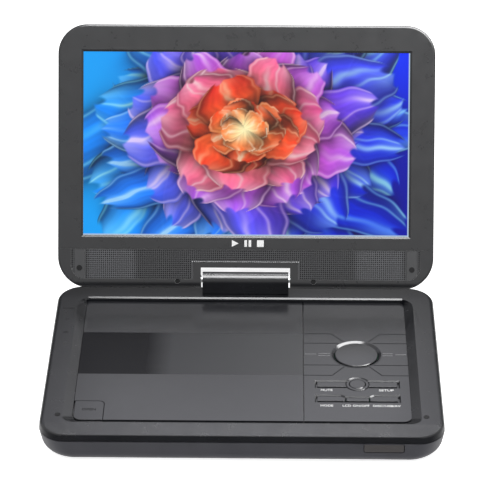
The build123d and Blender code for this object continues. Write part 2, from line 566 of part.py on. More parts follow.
def disc_drive():
    """The tray that the disc lies in, and the loader under it."""
    cx = DISC_X
    cy = DISC_FROM_REAR
    low = WELL_FLOOR_Z - TRAY_WALL
    tray = block((-111, 42.3), 25.5, 167, (BASIN_Z - TRAY_WALL, BASIN_Z))
    tray += post(WELL_RADIUS + TRAY_WALL, cx, cy, low, BASIN_Z)
    tray -= post(WELL_RADIUS, cx, cy, WELL_FLOOR_Z, BASIN_Z + 1)
    tray -= post(15.0, cx, cy, low - 1, WELL_FLOOR_Z + 1)
    tray -= block((cx - 8, cx + 8), cy, cy + 61, (low - 1, WELL_FLOOR_Z + 1))
    tray -= post(3.6, sum(OPEN_KEY_X) / 2, (OPEN_KEY_REAR + OPEN_KEY_FRONT) / 2, BASIN_Z - 2, BASIN_Z + 1)
    tray -= block((-88, -80), 158.8, 168, (BASIN_Z - 2, BASIN_Z + 1))
    parts["disc_tray"] = tray

    rear = cy + LENS_START - 14
    front = rear + 60
    plate_z = (LOADER_Z, LOADER_Z + 1.0)
    frame = block((cx - 50, cx + 50), cy - 22, cy + 75, plate_z)
    frame -= block((cx - 25.5, cx + SCREW_OFFSET + 3), rear, front, (LOADER_Z - 1, LOADER_Z + 2))
    frame -= block((cx + SCREW_OFFSET - 4.2, cx + SCREW_OFFSET + 4.2), cy - 5, rear + 1,
        (LOADER_Z - 1, LOADER_Z + 2))
    frame -= post(3.0, cx, cy, LOADER_Z - 1, LOADER_Z + 2)
    rods = Part()
    for side in (-1, 1):
        x = cx + side * ROD_SPACING
        for end in (rear - 2, front):
            frame += block((x - 2.5, x + 2.5), end, end + 2, (SLED_Z - 2.5, LOADER_Z + 1))
        rods += rod_y(ROD_RADIUS, x, rear - 2, front + 2, SLED_Z)
    screw_x = cx + SCREW_OFFSET
    frame += block((screw_x - 2.5, screw_x + 2.5), front, front + 2, (SLED_Z - 2.5, LOADER_Z + 1))
    frame -= rods
    frame -= rod_y(ROD_RADIUS + RUNNING, screw_x, front - 1, front + 3, SLED_Z)
    dampers = Part()
    screws = Part()
    for dx, dy in LOADER_CORNERS:
        x = cx + dx
        from_rear = cy + dy
        frame -= post(1.6, x, from_rear, LOADER_Z - 1, LOADER_Z + 2)
        dampers += ring(4.0, 1.2, x, from_rear, LOADER_Z - 2, LOADER_Z)
        screws += post(2.6, x, from_rear, LOADER_Z + 1, LOADER_Z + 1.8)
        screws += post(SMALL_SCREW_RADIUS, x, from_rear, LOADER_Z - 4, LOADER_Z + 1)
    parts["loader_frame"] = frame
    parts["guide_rods"] = rods
    parts["loader_dampers"] = dampers
    parts["loader_screws"] = screws

    motor = post(11.0, cx, cy, 5.6, LOADER_Z)
    motor = fillet(motor.edges().sort_by(Axis.Z)[0], 0.8)
    parts["spindle_motor"] = motor - post(SPINDLE_RADIUS + RUNNING, cx, cy, 6.4, LOADER_Z + 1)
    parts["spindle_shaft"] = post(SPINDLE_RADIUS, cx, cy, 6.6, WELL_FLOOR_Z + 1)
    seat_z = WELL_FLOOR_Z + 1.4
    hub = post(HUB_MAT_OUTER + 0.5, cx, cy, WELL_FLOOR_Z - 0.8, seat_z)
    hub -= ring(HUB_MAT_OUTER, HUB_MAT_INNER, cx, cy, seat_z - 0.4, seat_z + 1)
    spigot = post(DISC_HOLE_RADIUS, cx, cy, seat_z, seat_z + 2.6)
    hub += chamfer(spigot.edges().sort_by(Axis.Z)[-1], 0.9)
    hub -= post(SPINDLE_RADIUS, cx, cy, WELL_FLOOR_Z - 2, WELL_FLOOR_Z + 1)
    parts["turntable_hub"] = hub
    parts["turntable_mat"] = ring(HUB_MAT_OUTER, HUB_MAT_INNER, cx, cy, seat_z - 0.4, seat_z + 0.2)

    lens_y = cy + LENS_START
    sled = block((cx - 24, cx + 24), lens_y - 10, lens_y + 10, (6.6, LOADER_Z + 1.0))
    sled -= block((cx - 16, cx - 9), lens_y - 11, lens_y + 11, (8.0, LOADER_Z + 2))
    sled -= block((cx + 9, cx + 16), lens_y - 11, lens_y + 11, (8.0, LOADER_Z + 2))
    for side in (-1, 1):
        sled -= rod_y(ROD_RADIUS + RUNNING, cx + side * ROD_SPACING, lens_y - 11, lens_y + 11, SLED_Z)
    sled += block((cx + 23.5, cx + SCREW_OFFSET - ROD_RADIUS - 0.2), lens_y - 4, lens_y + 4, (7.6, 10.4))
    sled += post(3.8, cx, lens_y, LOADER_Z + 0.5, WELL_FLOOR_Z - 0.8)
    sled -= post(2.4, cx, lens_y, WELL_FLOOR_Z - 1.6, WELL_FLOOR_Z)
    parts["laser_sled"] = sled
    lens = post(2.4, cx, lens_y, WELL_FLOOR_Z - 1.6, WELL_FLOOR_Z - 0.1)
    parts["laser_lens"] = fillet(lens.edges().sort_by(Axis.Z)[-1], 0.9)

    worm = rod_y(ROD_RADIUS, screw_x, rear - 4, front + 2, SLED_Z)
    thread_turns = 12
    for turn in range(thread_turns):
        groove_y = rear + 2 + turn * (front - rear - 4) / (thread_turns - 1)
        notch = rod_y(ROD_RADIUS + 1, screw_x, groove_y - 0.4, groove_y + 0.4, SLED_Z)
        worm -= notch - rod_y(ROD_RADIUS - 0.35, screw_x, groove_y - 1, groove_y + 1, SLED_Z)
    parts["lead_screw"] = worm
    feed = rod_y(3.4, screw_x, rear - 14, rear - 2.5, SLED_Z)
    parts["sled_motor"] = feed - rod_y(ROD_RADIUS + RUNNING, screw_x, rear - 4.2, rear, SLED_Z)


def electronics():
    """The battery, the main board, and the sockets and controls along both sides."""
    parts["battery_pack"] = fillet(block((46, 111), 84, 163,
        (FLOOR_TOP, 11.4)).edges().filter_by(Axis.Y), 2.5)
    board = block((44, 111), 24, 160, (MAIN_BOARD_Z, MAIN_BOARD_Z + 1.4))
    chips = [((58, 74), 40, 56, 15.2), ((82, 92), 44, 54, 15.0), ((84, 104), 66, 76, 14.8),
        ((50, 62), 70, 84, 15.0)]
    for span, rear, front, top in chips:
        board += block(span, rear, front, (13.6, top))
    parts["main_board"] = board

    side = BASE_WIDTH / 2
    inner = -side + SOCKET_INSET
    parts["port_board"] = block((-side + 5, -103), 24, 72, (7.8, 9.0))
    jacks = Part()
    for from_rear in JACKS_FROM_REAR:
        body = block((inner, inner + JACK_DEPTH + 1.3), from_rear - 5.5, from_rear + 5.5, SOCKET_BODY_Z)
        jacks += body - rod_x(JACK_RADIUS, (inner - 1, inner + JACK_DEPTH), from_rear, SOCKET_Z)
    parts["audio_jacks"] = jacks

    usb = block((-side + 0.8, -113.5), USB_FROM_REAR - 7.2, USB_FROM_REAR + 7.2, SOCKET_BODY_Z)
    usb -= block((-side, -115), USB_FROM_REAR - 6.3, USB_FROM_REAR + 6.3, (SOCKET_Z - 2.6, SOCKET_Z + 2.6))
    usb += block((-side + 1.5, -114.5), USB_FROM_REAR - 5.6, USB_FROM_REAR + 5.6,
        (SOCKET_Z + 0.2, SOCKET_Z + 2.0))
    parts["usb_socket"] = usb
    card = block((-side + 0.8, -101), CARD_FROM_REAR - 12.6, CARD_FROM_REAR + 12.6,
        (SOCKET_Z - 1.7, SOCKET_Z + 1.6))
    card -= block((-side, -104), CARD_FROM_REAR - 11.9, CARD_FROM_REAR + 11.9,
        (SOCKET_Z - 1.1, SOCKET_Z + 1.1))
    parts["card_slot"] = card

    dc = block((115, side - 3.6), DC_FROM_REAR - 4.4, DC_FROM_REAR + 4.4, (8.0, 16.2))
    dc += rod_x(4.1, (side - 3.7, side - 0.7), DC_FROM_REAR, SOCKET_Z)
    dc -= rod_x(2.8, (side - 11, side + 1), DC_FROM_REAR, SOCKET_Z)
    parts["dc_jack"] = dc + rod_x(0.8, (side - 11.5, side - 2), DC_FROM_REAR, SOCKET_Z)

    body = block((116, side - 6.4), SWITCH_FROM_REAR - 7, SWITCH_FROM_REAR + 7, (9.4, 15.0))
    parts["power_switch_body"] = body
    knob_front = SWITCH_FROM_REAR + 5
    knob = block((side - 6, side - 0.9), knob_front - 5.5, knob_front, (SOCKET_Z - 1.4, SOCKET_Z + 1.4))
    for step in (1.4, 2.7, 4.0):
        ridge = knob_front - step
        knob -= block((side - 1.2, side), ridge - 0.25, ridge + 0.25, (SOCKET_Z - 2, SOCKET_Z + 2))
    parts["power_switch_cap"] = knob

    pot = block((117, side - 5), WHEEL_FROM_REAR - 5, WHEEL_FROM_REAR + 5, (7.4, 10.2))
    parts["volume_pot"] = pot + post(WHEEL_SHAFT_RADIUS, WHEEL_X, WHEEL_FROM_REAR, 10, SOCKET_Z + 1.6)
    wheel = post(WHEEL_RADIUS, WHEEL_X, WHEEL_FROM_REAR, SOCKET_Z - 1.2, SOCKET_Z + 1.2)
    wheel -= post(WHEEL_SHAFT_RADIUS + RUNNING, WHEEL_X, WHEEL_FROM_REAR, SOCKET_Z - 2, SOCKET_Z + 2)
    notch_count = 30
    for index in range(notch_count):
        angle = 2 * math.pi * index / notch_count
        x = WHEEL_X + (WHEEL_RADIUS + 0.1) * math.cos(angle)
        from_rear = WHEEL_FROM_REAR + (WHEEL_RADIUS + 0.1) * math.sin(angle)
        wheel -= post(0.32, x, from_rear, SOCKET_Z - 2, SOCKET_Z + 2)
    parts["volume_wheel"] = wheel


# The lid is drawn flat, with X right, Y up the lid from the tilt axis and Z out of the screen.
LID_LOW = -AXIS_UP_LID
LID_HIGH = LID_HEIGHT - AXIS_UP_LID
LID_PLACE = Pos(0, AXIS_Y, AXIS_Z) * Rot(90 - LID_LEAN, 0, 0)


def lid_block(x_range, low, high, z_range):
    """A box in the lid, from low to high measured up from the lid's bottom edge."""
    height = high - low
    middle = LID_LOW + (low + high) / 2
    centre = (sum(x_range) / 2, middle, sum(z_range) / 2)
    return Pos(*centre) * Box(x_range[1] - x_range[0], height, z_range[1] - z_range[0])


def lid_post(radius, x, up, low, high):
    return Pos(x, LID_LOW + up, (low + high) / 2) * Cylinder(radius, high - low)


def lid_slab(inset, bottom_inset, low, high):
    """The lid's rounded outline, inset, as a slab."""
    base = LID_LOW + bottom_inset
    top = LID_HIGH - inset
    sketch = Pos(0, (base + top) / 2, low) * Rectangle(LID_WIDTH - 2 * inset, top - base)
    sketch = fillet(sketch.vertices().sort_by(Axis.Y)[:2], LID_BOTTOM_CORNER - inset)
    sketch = fillet(sketch.vertices().sort_by(Axis.Y)[-2:], LID_TOP_CORNER - inset)
    return extrude(sketch, high - low)


def chin_cutter(side):
    """What is cut off the lid's bottom edge, in front (side 1) or behind (side -1), to round it."""
    z_range = sorted((side * (LID_HALF - CHIN_ROUND), side * (LID_HALF + 1)))
    corner = lid_block((-LID_WIDTH, LID_WIDTH), -1, CHIN_ROUND, z_range)
    axis = Pos(0, LID_LOW + CHIN_ROUND, side * (LID_HALF - CHIN_ROUND))
    return corner - axis * Rot(0, 90, 0) * Cylinder(CHIN_ROUND, 3 * LID_WIDTH)


def mesh_area(low, high):
    """The speaker mesh band, which steps up over the hinge."""
    sketch = Pos(0, LID_LOW + (MESH_TOP + MESH_BOTTOM) / 2, low) * Rectangle(2 * MESH_HALF,
        MESH_TOP - MESH_BOTTOM)
    sketch = fillet(sketch.vertices().sort_by(Axis.Y)[:2], 9.0)
    band = extrude(sketch, high - low)
    return band - lid_block((-35.5, 35.5), 0, 18.0, (low - 1, high + 1))


def lid():
    """The two shells of the lid, and what they hold."""
    outside = (-NOTCH_HALF, NOTCH_HALF)
    notch = lid_block(outside, -1, NOTCH_HEIGHT, (-LID_HALF - 1, LID_HALF + 1))
    walls = lid_block((-NOTCH_HALF - 1.5, NOTCH_HALF + 1.5), 1, NOTCH_HEIGHT + 1.5, (-LID_HALF, LID_HALF))
    pin_hole = Rot(0, 90, 0) * Cylinder(TILT_PIN_RADIUS + 0.3, 2 * NOTCH_HALF + 4)
    front_skin = LID_HALF - LID_WALL

    front = lid_slab(0, 0, LID_PARTING + 0.15, LID_HALF)
    front = fillet(front.faces().sort_by(Axis.Z)[-1].edges(), FRONT_ROUND)
    front -= lid_slab(LID_WALL, 2.2, LID_PARTING - 1, front_skin)
    front += walls & lid_slab(1, 1, LID_PARTING + 0.15, LID_HALF - 1)
    front -= chin_cutter(1) + notch
    front -= pin_hole
    half = SCREEN_WIDTH / 2
    centre_y = LID_LOW + SCREEN_BOTTOM + SCREEN_HEIGHT / 2
    opening = Pos(0, centre_y, LID_HALF) * Box(SCREEN_WIDTH, SCREEN_HEIGHT, 3 * LID_WALL)
    small = Pos(0, centre_y, LID_HALF - SCREEN_BEVEL) * Rectangle(SCREEN_WIDTH, SCREEN_HEIGHT)
    flare = 2 * SCREEN_BEVEL
    large = Pos(0, centre_y, LID_HALF + 0.01) * Rectangle(SCREEN_WIDTH + flare, SCREEN_HEIGHT + flare)
    front -= opening
    front -= loft([small, large], ruled=True)
    front -= lid_block((-126.6, 126.6), MESH_TOP + 0.35, MESH_TOP + 0.85, (LID_HALF - 0.4, LID_HALF + 1))
    front -= mesh_area(LID_HALF - MESH_DEPTH, LID_HALF + 1)
    plugs = Part()
    for x, up, radius in ((-113.7, 13.7, 1.9), (113.7, 13.7, 1.9), (-46.5, 5.0, 1.7), (46.5, 5.0, 1.7)):
        front -= lid_post(radius + 0.05, x, up, front_skin - 0.5, LID_HALF + 1)
        plugs += lid_post(radius, x, up, front_skin, LID_HALF - 0.55)
    parts["bezel_plugs"] = plugs
    parts["lid_front_bezel"] = front

    rear = lid_slab(0, 0, -LID_HALF, LID_PARTING - 0.15)
    rear = fillet(rear.faces().sort_by(Axis.Z)[0].edges(), REAR_ROUND)
    lip = lid_slab(1.0, 1.2, LID_PARTING - 1, LID_PARTING + 1.2) - lid_slab(LID_WALL, 2.2, 0, LID_HALF)
    step = lid_slab(0.95, 1.15, LID_PARTING, LID_PARTING + 1.3)
    rear += lip
    rear -= lid_slab(LID_WALL, 2.2, -front_skin, LID_HALF)
    rear += walls & lid_slab(1, 1, -LID_HALF + 1, LID_PARTING - 0.15)
    rear -= chin_cutter(-1) + chin_cutter(1) + notch
    rear -= pin_hole
    parts["lid_front_bezel"] = front - (step - lid_slab(LID_WALL, 2.2, 0, LID_HALF))
    screws = Part()
    for x, up in LID_SCREWS:
        rear += lid_post(3.0, x, up, -front_skin - 0.5, LID_PARTING - 0.15)
        rear -= lid_post(2.4, x, up, -LID_HALF - 1, -LID_HALF + 2.6)
        rear -= lid_post(SMALL_SCREW_RADIUS, x, up, -LID_HALF, LID_PARTING + 1)
        screws += lid_post(2.2, x, up, -LID_HALF + 1.0, -LID_HALF + 2.6)
        screws += lid_post(SMALL_SCREW_RADIUS, x, up, -LID_HALF + 2.6, LID_PARTING - 0.2)
    parts["lid_screws"] = screws
    parts["lid_rear_shell"] = rear

    panel_low = SCREEN_BOTTOM - 5.8
    panel_high = SCREEN_BOTTOM + SCREEN_HEIGHT + 3.8
    parts["lcd_panel"] = lid_block((-half - 3.6, half + 3.6), panel_low, panel_high, (4.4, front_skin))
    tray = lid_block((-half - 4.6, half + 4.6), panel_low - 0.8, panel_high + 0.8, (2.0, 4.4))
    parts["backlight_tray"] = tray
    board = lid_block((-62, 58), 62, 98, (-2.6, -1.4))
    board += lid_block((-30, -12), 72, 88, (-4.0, -2.5)) + lid_block((10, 24), 74, 86, (-3.8, -2.5))
    parts["display_board"] = board
    speakers = Part()
    for x in (-SPEAKER_X, SPEAKER_X):
        case = lid_block((x - 17.5, x + 17.5), 7.5, 25.5, (1.0, front_skin))
        speakers += fillet(case.edges().filter_by(Axis.Z), 6.0)
    parts["speakers"] = speakers

    trim = lid_block(outside, NOTCH_HEIGHT - TRIM_BAR, NOTCH_HEIGHT, (-LID_HALF + 0.5, LID_HALF + 0.1))
    arm_low = NOTCH_HEIGHT - TRIM_BAR - 2.3
    for side in (-1, 1):
        span = sorted((side * (NOTCH_HALF - TRIM_ARM), side * NOTCH_HALF))
        trim += lid_block(span, arm_low, NOTCH_HEIGHT - TRIM_BAR + 0.1, (-LID_HALF + 0.5, LID_HALF + 0.1))
    parts["hinge_trim"] = trim

    pins = Part()
    brackets = Part()
    for side in (-1, 1):
        span = sorted((side * 16.0, side * 42.0))
        pins += Pos(sum(span) / 2, 0, 0) * Rot(0, 90, 0) * Cylinder(TILT_PIN_RADIUS, span[1] - span[0])
        collar_x = side * 37.5
        collar = Pos(collar_x, 0, 0) * Rot(0, 90, 0) * Cylinder(3.4, 9.0)
        plate_x = sorted((side * 33.0, side * 66.0))
        plate = lid_block(plate_x, 5.0, 14.0, (-3.2, -2.0))
        bore = Pos(collar_x, 0, 0) * Rot(0, 90, 0) * Cylinder(TILT_PIN_RADIUS, 12.0)
        brackets += collar + plate - bore
    parts["tilt_pins"] = pins
    parts["hinge_brackets"] = brackets


def hinge():
    """The hinge body on the base, and the shaft that it turns on."""
    barrel = rod_x(BARREL_RADIUS, (-BARREL_HALF, BARREL_HALF), AXIS_FROM_REAR, AXIS_Z)
    front = AXIS_FROM_REAR + BARREL_RADIUS
    rear = AXIS_FROM_REAR - BARREL_RADIUS
    body = barrel + block((-BARREL_HALF, BARREL_HALF), rear, front, (TOP_Z + 0.4, AXIS_Z))
    for side in (-1, 1):
        span = sorted((side * 15.7, side * (BARREL_HALF + 1)))
        body -= rod_x(TILT_PIN_RADIUS + RUNNING, span, AXIS_FROM_REAR, AXIS_Z)
    body -= post(SHAFT_RADIUS, 0, AXIS_FROM_REAR, TOP_Z, TOP_Z + 5.4)
    parts["hinge_body"] = body
    low = SEAM_Z - 2.4
    parts["swivel_shaft"] = ring(SHAFT_RADIUS, 2.0, 0, AXIS_FROM_REAR, low, TOP_Z + 5.4)
    washer_z = (SEAM_Z - 0.5, SEAM_Z + 0.1)
    parts["swivel_washer"] = ring(4.9, SHAFT_RADIUS, 0, AXIS_FROM_REAR, *washer_z)
    nut = extrude(Pos(0, AXIS_Y, low) * RegularPolygon(4.7, 6), washer_z[0] - low)
    parts["swivel_nut"] = nut - post(SHAFT_RADIUS, 0, AXIS_FROM_REAR, low - 1, washer_z[0] + 1)


base_shapes()
top_housing()
control_panel()
row_keys()
four_way_key()
key_board()
disc_door()
disc_drive()
electronics()
hinge()
fixed = set(parts)
lid()
for name in set(parts) - fixed:
    parts[name] = LID_PLACE * parts[name]

for name, shape in sorted(parts.items()):
    export_step(shape, f"parts/{name}.step")
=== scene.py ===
"""The looks of a portable disc player: its plastics, the picture on its screen, the speaker mesh,
the printed marks, and a plain white studio.  Metres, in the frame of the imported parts."""
import json
import math

import bmesh
import bpy
import numpy as np
from mathutils import Matrix, Vector

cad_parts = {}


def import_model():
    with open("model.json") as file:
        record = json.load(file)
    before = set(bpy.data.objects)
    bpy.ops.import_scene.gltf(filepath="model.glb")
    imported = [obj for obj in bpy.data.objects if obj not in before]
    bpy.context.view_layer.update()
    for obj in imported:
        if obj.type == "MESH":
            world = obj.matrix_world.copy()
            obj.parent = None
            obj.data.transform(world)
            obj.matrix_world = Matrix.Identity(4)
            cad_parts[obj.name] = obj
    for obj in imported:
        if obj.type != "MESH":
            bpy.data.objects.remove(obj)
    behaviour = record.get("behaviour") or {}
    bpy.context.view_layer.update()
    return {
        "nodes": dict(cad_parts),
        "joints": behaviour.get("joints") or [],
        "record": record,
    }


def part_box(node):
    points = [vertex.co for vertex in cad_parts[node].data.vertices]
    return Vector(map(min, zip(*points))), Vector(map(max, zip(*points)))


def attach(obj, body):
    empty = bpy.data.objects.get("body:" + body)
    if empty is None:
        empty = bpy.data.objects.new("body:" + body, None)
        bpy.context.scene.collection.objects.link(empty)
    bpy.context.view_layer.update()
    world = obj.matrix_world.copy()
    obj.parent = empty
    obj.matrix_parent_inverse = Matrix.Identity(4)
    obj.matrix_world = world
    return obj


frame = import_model()
nodes = frame["nodes"]
joints = {joint["name"]: joint for joint in frame["joints"]}
MM = 0.001
PRINT = 0.04 * MM

# The lid's own directions: right, up its face and out of its screen.
LEAN = math.radians(90 - joints["lid_tilt"]["range_deg"][1])
RIGHT = Vector((1, 0, 0))
UP = Vector((0, math.sin(LEAN), math.cos(LEAN)))
OUT = Vector((0, -math.cos(LEAN), math.sin(LEAN)))
AXIS = Vector(joints["lid_tilt"]["pos_m"])


def extent(node, direction, origin=Vector()):
    """How far a part reaches along a direction, lowest and highest, from an origin."""
    reach = [(v.co - origin).dot(direction) for v in nodes[node].data.vertices]
    return min(reach), max(reach)


LID_BOTTOM = extent("lid_rear_shell", UP, AXIS)[0]
FACE = extent("lid_front_bezel", OUT, AXIS)[1]
LID_FRAME = Matrix.Translation(AXIS + UP * LID_BOTTOM) @ Matrix((RIGHT, UP, OUT)).transposed().to_4x4()
BASE_LOW, BASE_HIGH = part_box("base_top_housing")
REAR = BASE_HIGH.y
DECK_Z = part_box("control_panel")[1].z


# Materials ------------------------------------------------------------------------------------

def new_material(name):
    material = bpy.data.materials.new(name)
    material.use_nodes = True
    tree = material.node_tree
    return material, tree, tree.nodes["Principled BSDF"]


def add(tree, kind, **settings):
    node = tree.nodes.new(kind)
    for key, value in settings.items():
        setattr(node, key, value)
    return node


def object_place(tree):
    return add(tree, "ShaderNodeTexCoord").outputs["Object"]


def stretched(tree, place, scale):
    mapping = add(tree, "ShaderNodeMapping")
    mapping.inputs["Scale"].default_value = scale
    tree.links.new(place, mapping.inputs["Vector"])
    return mapping.outputs["Vector"]


def noise(tree, place, size, detail=2.0, roughness=0.5):
    """A noise whose blotches are about size across."""
    node = add(tree, "ShaderNodeTexNoise")
    node.inputs["Scale"].default_value = 1 / size
    node.inputs["Detail"].default_value = detail
    node.inputs["Roughness"].default_value = roughness
    tree.links.new(place, node.inputs["Vector"])
    return node.outputs["Fac"]


def colours(tree, factor, stops):
    """A colour ramp through stops, pairs of a position and a colour."""
    ramp = add(tree, "ShaderNodeValToRGB").color_ramp
    node = tree.nodes[-1]
    while len(ramp.elements) < len(stops):
        ramp.elements.new(0.5)
    for element, (position, colour) in zip(ramp.elements, stops):
        element.position = position
        element.color = (*colour, 1)
    tree.links.new(factor, node.inputs["Fac"])
    return node.outputs["Color"]


def remap(tree, value, low, high, from_low=0.3, from_high=0.7):
    node = add(tree, "ShaderNodeMapRange")
    node.inputs["From Min"].default_value = from_low
    node.inputs["From Max"].default_value = from_high
    node.inputs["To Min"].default_value = low
    node.inputs["To Max"].default_value = high
    tree.links.new(value, node.inputs["Value"])
    return node.outputs["Result"]


def bump(tree, height, surface, distance):
    node = add(tree, "ShaderNodeBump")
    node.inputs["Distance"].default_value = distance
    tree.links.new(height, node.inputs["Height"])
    tree.links.new(node.outputs["Normal"], surface.inputs["Normal"])


def shaded(colour, factor):
    return tuple(min(1.0, c * factor) for c in colour)


def plastic(name, tone, polish, grain=0.35, relief=0.004, mottle=0.10, specular=0.5):
    """Moulded plastic: a faintly uneven tone, uneven polish and a fine grain (sizes in mm)."""
    material, tree, surface = new_material(name)
    place = object_place(tree)
    cloud = noise(tree, place, 22 * MM, 3)
    stops = [(0.3, shaded(tone, 1 - mottle)), (0.7, shaded(tone, 1 + mottle))]
    tree.links.new(colours(tree, cloud, stops), surface.inputs["Base Color"])
    smear = noise(tree, place, 9 * MM, 4, 0.6)
    tree.links.new(remap(tree, smear, polish * 0.9, polish * 1.12), surface.inputs["Roughness"])
    bump(tree, noise(tree, place, grain * MM, 2), surface, relief * MM)
    surface.inputs["Specular IOR Level"].default_value = specular
    return material


def metal(name, tone, polish, brushed=(1, 1, 1), relief=0.003):
    """Metal with a brushed or plain grain along the longest side of the stretch."""
    material, tree, surface = new_material(name)
    place = stretched(tree, object_place(tree), brushed)
    grain = noise(tree, place, 0.5 * MM, 3, 0.6)
    stops = [(0.3, shaded(tone, 0.88)), (0.7, shaded(tone, 1.08))]
    tree.links.new(colours(tree, grain, stops), surface.inputs["Base Color"])
    tree.links.new(remap(tree, grain, polish * 0.8, polish * 1.25), surface.inputs["Roughness"])
    surface.inputs["Metallic"].default_value = 1.0
    bump(tree, grain, surface, relief * MM)
    return material


def circuit_board():
    """Green solder mask with traces under it."""
    material, tree, surface = new_material("circuit_board")
    place = object_place(tree)
    cells = add(tree, "ShaderNodeTexVoronoi", feature="DISTANCE_TO_EDGE", distance="CHEBYCHEV")
    cells.inputs["Scale"].default_value = 1 / (4 * MM)
    tree.links.new(place, cells.inputs["Vector"])
    trace = cells.outputs["Distance"]
    stops = [(0.05, (0.03, 0.26, 0.12)), (0.12, (0.01, 0.13, 0.06))]
    tree.links.new(colours(tree, trace, stops), surface.inputs["Base Color"])
    surface.inputs["Roughness"].default_value = 0.35
    bump(tree, trace, surface, 0.02 * MM)
    return material


def battery_wrap():
    """Blue shrink film with soft wrinkles."""
    material, tree, surface = new_material("battery_wrap")
    place = object_place(tree)
    wrinkle = noise(tree, stretched(tree, place, (1, 6, 1)), 12 * MM, 4)
    stops = [(0.3, (0.01, 0.05, 0.22)), (0.7, (0.02, 0.09, 0.34))]
    tree.links.new(colours(tree, wrinkle, stops), surface.inputs["Base Color"])
    tree.links.new(remap(tree, wrinkle, 0.25, 0.4), surface.inputs["Roughness"])
    bump(tree, wrinkle, surface, 0.3 * MM)
    return material


def lens_glass():
    material, tree, surface = new_material("lens_glass")
    place = object_place(tree)
    tint = colours(tree, noise(tree, place, 2 * MM), [(0.3, (0.10, 0.14, 0.40)), (0.7, (0.22, 0.16, 0.46))])
    tree.links.new(tint, surface.inputs["Base Color"])
    surface.inputs["Roughness"].default_value = 0.04
    surface.inputs["Coat Weight"].default_value = 1.0
    return material


def ink(name, tone, polish=0.5, specular=0.5):
    """Screen-printed ink, a little uneven."""
    material, tree, surface = new_material(name)
    place = object_place(tree)
    film = noise(tree, place, 0.4 * MM, 2)
    stops = [(0.3, shaded(tone, 0.94)), (0.7, tone)]
    tree.links.new(colours(tree, film, stops), surface.inputs["Base Color"])
    surface.inputs["Roughness"].default_value = polish
    surface.inputs["Specular IOR Level"].default_value = specular
    bump(tree, film, surface, 0.002 * MM)
    return material


def stripe_painted_reflection():
    """The glossy band across the disc door, its colour a painted reflection: black at its left end, fading to
    grey.
    """
    material, tree, surface = new_material("stripe_painted_reflection")
    place = object_place(tree)
    split = add(tree, "ShaderNodeSeparateXYZ")
    tree.links.new(place, split.inputs["Vector"])
    cloud = noise(tree, place, 30 * MM, 2)
    wobble = add(tree, "ShaderNodeMath", operation="MULTIPLY_ADD")
    wobble.inputs[1].default_value = 6 * MM
    tree.links.new(cloud, wobble.inputs[0])
    tree.links.new(split.outputs["X"], wobble.inputs[2])
    along = remap(tree, wobble.outputs["Value"], 0, 1, -106 * MM, 42 * MM)
    # Painted reflection: near black at the left, standing in for a dark thing mirrored in the band, fading to
    # grey to the right.
    stops = [(0.30, (0.007, 0.007, 0.009)), (0.42, (0.062, 0.063, 0.068)), (1.0, (0.092, 0.093, 0.098))]
    tree.links.new(colours(tree, along, stops), surface.inputs["Base Color"])
    surface.inputs["Roughness"].default_value = 0.22
    surface.inputs["Specular IOR Level"].default_value = 0.08
    bump(tree, noise(tree, place, 0.4 * MM), surface, 0.002 * MM)
    return material


def speaker_cloth():
    """The satin plastic of the speaker mesh, paler where the loudspeakers are."""
    material, tree, surface = new_material("speaker_cloth")
    place = object_place(tree)
    split = add(tree, "ShaderNodeSeparateXYZ")
    tree.links.new(place, split.inputs["Vector"])
    side = add(tree, "ShaderNodeMath", operation="ABSOLUTE")
    tree.links.new(split.outputs["X"], side.inputs[0])
    reach = remap(tree, side.outputs["Value"], 0, 1, 70 * MM, 112 * MM)
    stops = [(0.08, (0.036, 0.037, 0.041)), (0.18, (0.080, 0.082, 0.090)),
             (0.86, (0.080, 0.082, 0.090)), (0.94, (0.030, 0.031, 0.034))]
    tree.links.new(colours(tree, reach, stops), surface.inputs["Base Color"])
    surface.inputs["Roughness"].default_value = 0.38
    bump(tree, noise(tree, place, 0.3 * MM), surface, 0.004 * MM)
    return material


BLACK = (0.0075, 0.008, 0.0105)
DECK = (0.0175, 0.018, 0.0215)
materials = {
    "housing_gloss": plastic("housing_gloss", BLACK, 0.25, mottle=0.2),
    "housing_satin": plastic("housing_satin", (0.042, 0.042, 0.050), 0.42, 0.5, 0.012),
    "bezel_satin": plastic("bezel_satin", (0.0135, 0.014, 0.016), 0.29, 0.4, 0.006),
    "panel_gloss": plastic("panel_gloss", DECK, 0.21),
    "door_gloss": plastic("door_gloss", DECK, 0.22),
    "key_gloss": plastic("key_gloss", DECK, 0.20),
    "window_smoke": plastic("window_smoke", (0.054, 0.050, 0.050), 0.30),
    "tray_plastic": plastic("tray_plastic", (0.03, 0.03, 0.033), 0.45, 0.6, 0.02),
    "white_plastic": plastic("white_plastic", (0.70, 0.69, 0.65), 0.40, mottle=0.04),
    "socket_plastic": plastic("socket_plastic", (0.012, 0.012, 0.012), 0.40),
    "rubber": plastic("rubber", (0.008, 0.008, 0.009), 0.80, 0.3, 0.03, specular=0.12),
    "steel": metal("steel", (0.56, 0.57, 0.58), 0.28, (1, 0.05, 1)),
    "sled_metal": metal("sled_metal", (0.60, 0.60, 0.61), 0.45, relief=0.02),
    "screw_black": metal("screw_black", (0.05, 0.05, 0.055), 0.40),
    "chrome_trim": metal("chrome_trim", (0.92, 0.92, 0.93), 0.12, (0.03, 1, 1), 0.0005),
    "circuit_board": circuit_board(),
    "battery_wrap": battery_wrap(),
    "lens_glass": lens_glass(),
    "screen_glass": plastic("screen_glass", (0.006, 0.006, 0.008), 0.12),
}
for row in frame["record"]["subparts"]:
    body = nodes[row["node"]]
    body.data.materials.clear()
    body.data.materials.append(materials[row["material_slot"]])
    for polygon in body.data.polygons:
        polygon.material_index = 0
print_white = ink("print_white", (0.92, 0.92, 0.92))
print_grey = ink("print_grey", (0.16, 0.16, 0.165))
print_faint = ink("print_faint", (0.006, 0.006, 0.007), 0.7, 0.1)


# Pieces ---------------------------------------------------------------------------------------

